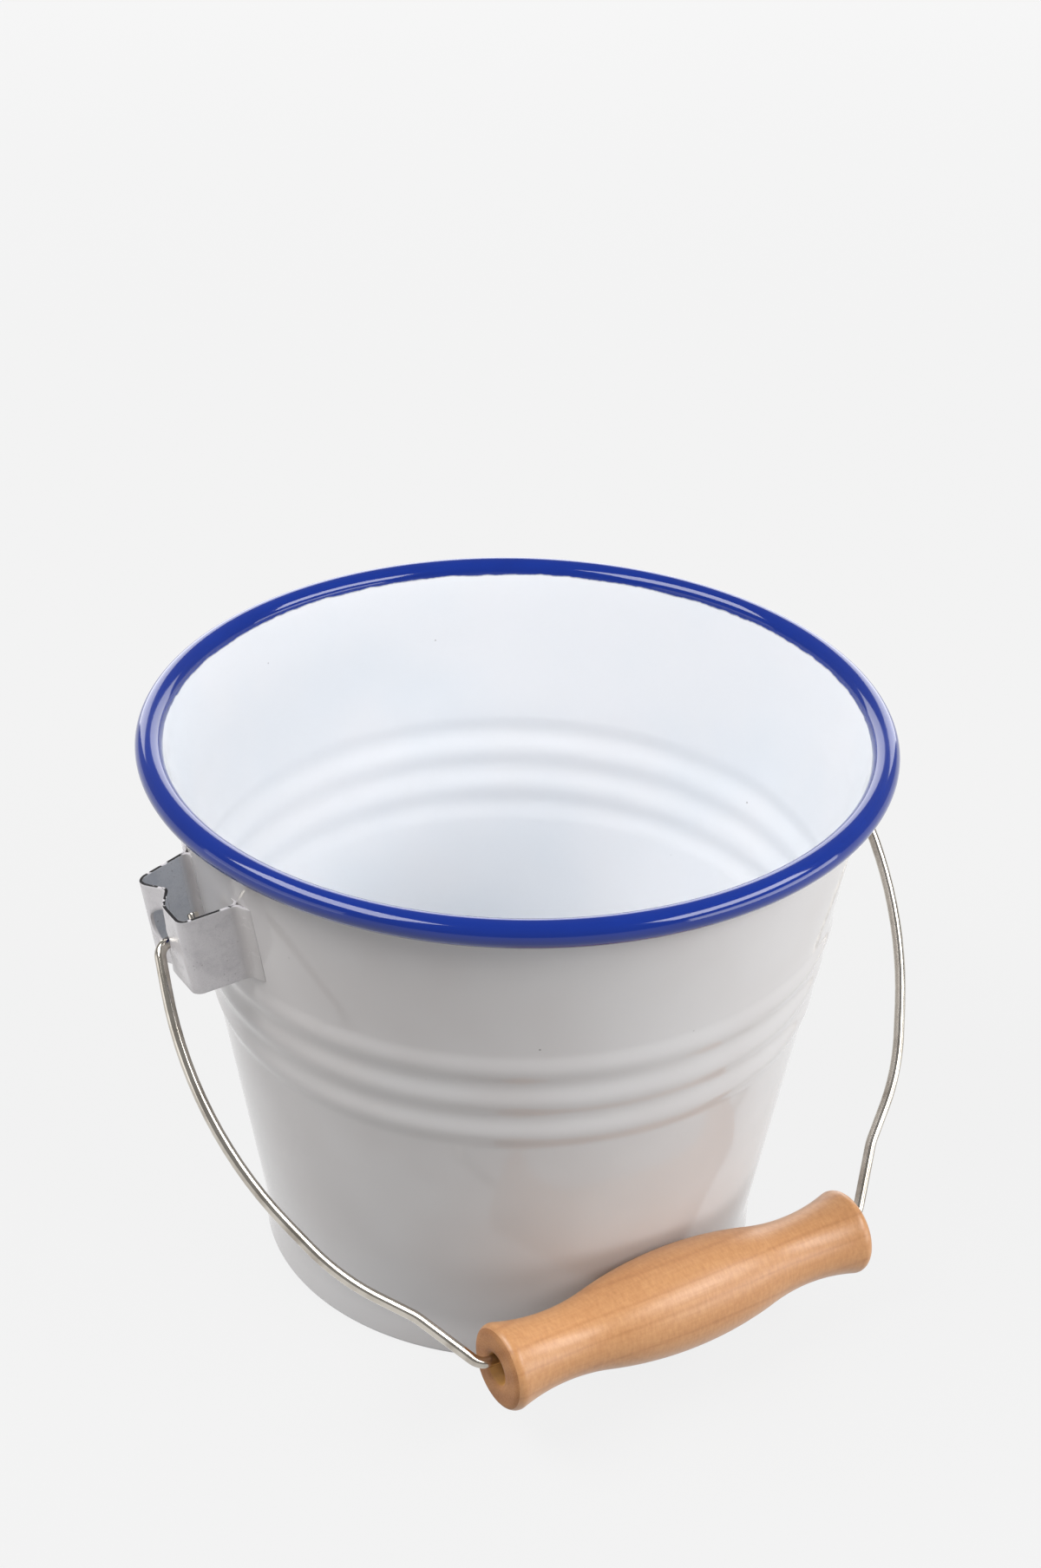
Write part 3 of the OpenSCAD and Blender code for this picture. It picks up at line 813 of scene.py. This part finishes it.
bm = bmesh.new()
ring = bmesh.ops.create_circle(bm, segments=WIRE_SIDES, radius=WIRE / 2)["verts"]
bmesh.ops.rotate(bm, verts=ring, cent=(0, 0, 0), matrix=Matrix.Rotation(pi / 2, 3, "Y"))
bmesh.ops.translate(bm, verts=ring, vec=half_path[0])
end = follow(bm, bm.verts[:] + bm.edges[:], half_path, half_bends, Z, WIRE_STEPS)
cut = [e for e in end if isinstance(e, bmesh.types.BMEdge)]
cap = bmesh.ops.contextual_create(bm, geom=cut)["faces"][0]
bmesh.ops.bevel(bm, geom=cap.edges[:], offset=END_BEVEL, offset_type="OFFSET", affect="EDGES",
                segments=END_SEGMENTS, profile=0.5, material=-1)
half = bm.verts[:] + bm.edges[:] + bm.faces[:]
bmesh.ops.mirror(bm, geom=half, axis="X", merge_dist=MERGE)
bmesh.ops.recalc_face_normals(bm, faces=bm.faces)
bmesh.ops.transform(bm, matrix=hang, verts=bm.verts)
piece(bm, "bail", "bail", "bail_wire", [plated_wire])

# %% [markdown]
# ## Turned wood
# The grip is a pale close-grained wood with the grain along it. Year rings are cylinders round a
# pith, so a sine of the distance from a line outside the grip gives rings that cut across it as
# real ones do. A Wave texture would be quicker, but its bands would not agree with the end
# grain. Noise that is stretched along the grip makes the fibres, and noise that is squeezed
# along it the short marks across them.

# %% Side grain
WOOD_PALE = srgb(217, 165, 115)
WOOD_MID = srgb(198, 142, 93)
WOOD_DARK = srgb(168, 111, 67)
RING_SPACING, RING_WANDER, RING_SHARP = 7.5 * MM, 3.0 * MM, 24.0
PITH = Vector((0, 66.0, 100.0)) * MM
FIBRE_RELIEF = 0.03 * MM


def wood_coords(coords):
    """Coordinates from the middle of the grip, with the grain along X."""
    return coords.node("Mapping", {}, {"Vector": coords, "Location": -grip_centre})


def stretched(coords, along, across):
    """Coordinates scaled along and across the grain, in waves to the metre."""
    return coords.node("Mapping", {}, {"Vector": coords, "Scale": (along, across, across)})


def ring_field(coords):
    """Year rings round a pith that lies outside the grip, as a wave from 0 to 1."""
    wander = (stretched(coords, 6.0, 30.0).noise(1.0) - 0.5) * RING_WANDER
    y, z = coords.axes()[1:]
    y, z = y - PITH.y, z - PITH.z
    turns = ((y * y + z * z) ** 0.5 + wander) * (2 * pi / RING_SPACING)
    return turns.math("SINE", turns) * 0.5 + 0.5


grip_wood, shader, coords = new_finish("grip_wood", {"Coat Weight": 0.25, "Coat Roughness": 0.3})
grain = wood_coords(coords)
rings = ring_field(grain) ** RING_SHARP
fibre = stretched(grain, 45.0, 1300.0).noise(1.0, 3.0, 0.6)
cross = stretched(grain, 1000.0, 380.0).noise(1.0, 2.0, 0.6)
cloud = stretched(grain, 14.0, 60.0).noise(1.0)
tone = 0.16 * rings + 0.3 * fibre + 0.55 * cross + 0.45 * cloud - 0.2
stops = [(0.1, WOOD_PALE), (0.5, WOOD_MID), (1.0, WOOD_DARK)]
feed(shader, {"Base Color": tone.node("ValToRGB", {"stops": stops}, {0: tone}),
              "Roughness": 0.3 + 0.14 * fibre,
              "Normal": (0.6 * fibre + 0.4 * cross).bump(FIBRE_RELIEF)})
print("finish:", grip_wood.name)

# %% [markdown]
# ## End grain
# The sawn ends are darker and duller than the side, because end grain is open and drinks the
# finish. They have a material of their own, with the same rings and a field of fine pores. The
# bore runs along the grain and stays yellower, so the colour changes at its radius.

# %% End grain
END_PALE = srgb(186, 132, 84)
END_DARK = srgb(152, 100, 60)
BORE_WOOD = srgb(186, 136, 74)
BORE_BLEND = 0.6 * MM
PORE_RELIEF = 0.06 * MM

grip_end_grain, shader, coords = new_finish("grip_end_grain", {})
grain = wood_coords(coords)
y, z = grain.axes()[1:]
pores = grain.noise(2600.0)
sawn = (0.25 * ring_field(grain) + 0.75 * pores).fade(0.1, 0.9).mix(END_PALE, END_DARK)
in_bore = 1 - ((y * y + z * z) ** 0.5).fade(BORE / 2, BORE / 2 + BORE_BLEND)
feed(shader, {"Base Color": in_bore.mix(sawn, BORE_WOOD), "Roughness": 0.5 + 0.2 * pores,
              "Normal": pores.bump(PORE_RELIEF)})
print("finish:", grip_end_grain.name)

# %% [markdown]
# ## The grip
# The grip is a long belly, two necks and rounded ends, on a wide bore. Half of its outline is
# drawn with three bends that meet in common tangents, then it is mirrored and turned. A few
# points under a Subdivision Surface would give a like shape, but not these radii. The faces of
# the ends and of the bore get the end grain.

# %% Grip
NECK = 22.6 * MM
NECK_PLACE = 45.5 * MM
BELLY_BEND = 135.0 * MM
END_ROUND = 3.0 * MM
END_GRAIN_SHARE = 0.75
BORE_CHAMFER = 0.8 * MM
BELLY_STEPS, NECK_STEPS, ROUND_STEPS = 20, 24, 10
FACE_STEPS, CHAMFER_STEPS, BORE_STEPS = 3, 2, 6
GRIP_STEPS = 128

belly = (grip_high.z - grip_low.z) / 2
drop = belly - NECK / 2
both_bends = (NECK_PLACE ** 2 + drop ** 2) / (2 * drop)
neck_round = both_bends - BELLY_BEND
belly_turn = asin(NECK_PLACE / both_bends)
neck_centre = Vector((NECK_PLACE, 0, NECK / 2 + neck_round))
round_x = grip_half - END_ROUND
end_turn = asin((round_x - NECK_PLACE) / (neck_round + END_ROUND))
round_centre = Vector((round_x, 0, neck_centre.z - (neck_round + END_ROUND) * cos(end_turn)))
mouth = Vector((grip_half, 0, BORE / 2 + BORE_CHAMFER))
end_grain_from = round_x + END_GRAIN_SHARE * END_ROUND

bm = bmesh.new()
end = [bm.verts.new((0, 0, belly))]
end = bend(bm, end, Vector((0, 0, belly - BELLY_BEND)), Y, belly_turn, BELLY_STEPS)
end = bend(bm, end, neck_centre, Y, -belly_turn - end_turn, NECK_STEPS)
end = bend(bm, end, round_centre, Y, end_turn + pi / 2, ROUND_STEPS)
end = push(bm, end, mouth - end[0].co, FACE_STEPS)
end = push(bm, end, Vector((-BORE_CHAMFER, 0, -BORE_CHAMFER)), CHAMFER_STEPS)
push(bm, end, Vector((BORE_CHAMFER - grip_half, 0, 0)), BORE_STEPS)
bmesh.ops.mirror(bm, geom=bm.verts[:] + bm.edges[:], axis="X", merge_dist=MERGE)
lathe(bm, X, GRIP_STEPS)
for face in bm.faces:
    middle = face.calc_center_median()
    at_end = abs(middle.x) > end_grain_from
    bored = hypot(middle.y, middle.z) < mouth.z
    face.material_index = 1 if at_end or bored else 0
bmesh.ops.translate(bm, verts=bm.verts, vec=grip_centre)
piece(bm, "grip", "grip", "wooden_grip", [grip_wood, grip_end_grain])

# %% [markdown]
# ## Floor
# The floor is a plain pale sheet that runs out of sight. Part of what the camera sees of it is
# its own even tone, so that it stays as pale as a studio sweep, and the rest is lit, so that it
# keeps the shadow of the pail. A brighter lamp would whiten the floor as well, but it would also
# bleach the enamel. Seen from below the floor is clear, so that the foot can be looked at.

# %% Floor
FLOOR_REACH = 60.0
FLOOR_TONE = srgb(244, 244, 244)
FLOOR_PAPER = srgb(205, 205, 205)
FLOOR_BOUNCE = srgb(132, 132, 132)
EVEN_SHARE = 0.92

floor_paper, paper, coords = new_finish("floor_paper", {})
camera_ray = coords.node("LightPath", {}, {}, "Is Camera Ray")
rays = camera_ray.socket.node.outputs
mirrored = camera_ray.math("MAXIMUM", Field(rays["Is Glossy Ray"]), Field(rays["Is Transmission Ray"]))
shown = camera_ray.math("MAXIMUM", camera_ray, mirrored)
fibres = coords.noise(6.0)
feed(paper, {"Base Color": shown.mix(FLOOR_BOUNCE, FLOOR_PAPER), "Roughness": 0.85 + 0.1 * fibres})
even = coords.node("Emission", {}, {"Color": FLOOR_TONE})
lit = coords.node("MixShader", {}, {0: EVEN_SHARE * shown, 1: Field(paper.outputs[0]), 2: even})
underside = coords.node("NewGeometry", {}, {}, "Backfacing")
clear = coords.node("BsdfTransparent", {}, {})
one_sided = coords.node("MixShader", {}, {0: underside, 1: lit, 2: clear})
output = floor_paper.node_tree.nodes["Material Output"]
floor_paper.node_tree.links.new(one_sided.socket, output.inputs["Surface"])

bm = bmesh.new()
bmesh.ops.create_grid(bm, x_segments=1, y_segments=1, size=FLOOR_REACH)
floor_mesh = bpy.data.meshes.new("floor")
bm.to_mesh(floor_mesh)
bm.free()
floor_mesh.materials.append(floor_paper)
floor = bpy.data.objects.new("floor", floor_mesh)
bpy.context.scene.collection.objects.link(floor)
print("floor", 2 * FLOOR_REACH, "m wide")

# %% [markdown]
# ## Light
# Glossy enamel shows the shape of every lamp, so the lamps are soft boxes and panels, as in a
# studio: the long boxes draw the streaks in the rim, and the low panels keep the sides of the
# wall from going dark. Point lamps would leave hard white dots. A dim even sky fills the rest.

# %% Lamps and sky
# Name, place and size in metres, and power in watts.
LAMPS = [
    ("left_box", (-0.92, 0.16, 1.37), (1.3, 0.65), 19.0),
    ("right_box", (0.68, -0.94, 0.98), (1.1, 0.45), 12.0),
    ("left_panel", (-1.15, 0.2, 0.22), (1.0, 0.4), 1.3),
    ("right_panel", (0.82, -1.0, 0.2), (1.2, 0.38), 5.5),
    ("back_panel", (0.85, 1.36, 0.5), (2.4, 1.0), 19.0),
]
LAMP_AIM = Vector((0, 0, 0.1))
SKY_COLOUR = srgb(241, 241, 241)
SKY_STRENGTH = 0.36

for name, place, size, power in LAMPS:
    lamp = bpy.data.lights.new(name, "AREA")
    lamp.shape = "RECTANGLE"
    lamp.size, lamp.size_y = size
    lamp.energy = power
    holder = bpy.data.objects.new(name, lamp)
    turned = (LAMP_AIM - Vector(place)).to_track_quat("-Z", "Y").to_matrix()
    holder.matrix_world = Matrix.Translation(place) @ turned.to_4x4()
    bpy.context.scene.collection.objects.link(holder)

world = bpy.data.worlds.new("sky")
bpy.context.scene.world = world
world.use_nodes = True
sky = world.node_tree.nodes["Background"]
sky.inputs["Color"].default_value = SKY_COLOUR
sky.inputs["Strength"].default_value = SKY_STRENGTH
print(len(LAMPS), "lamps")
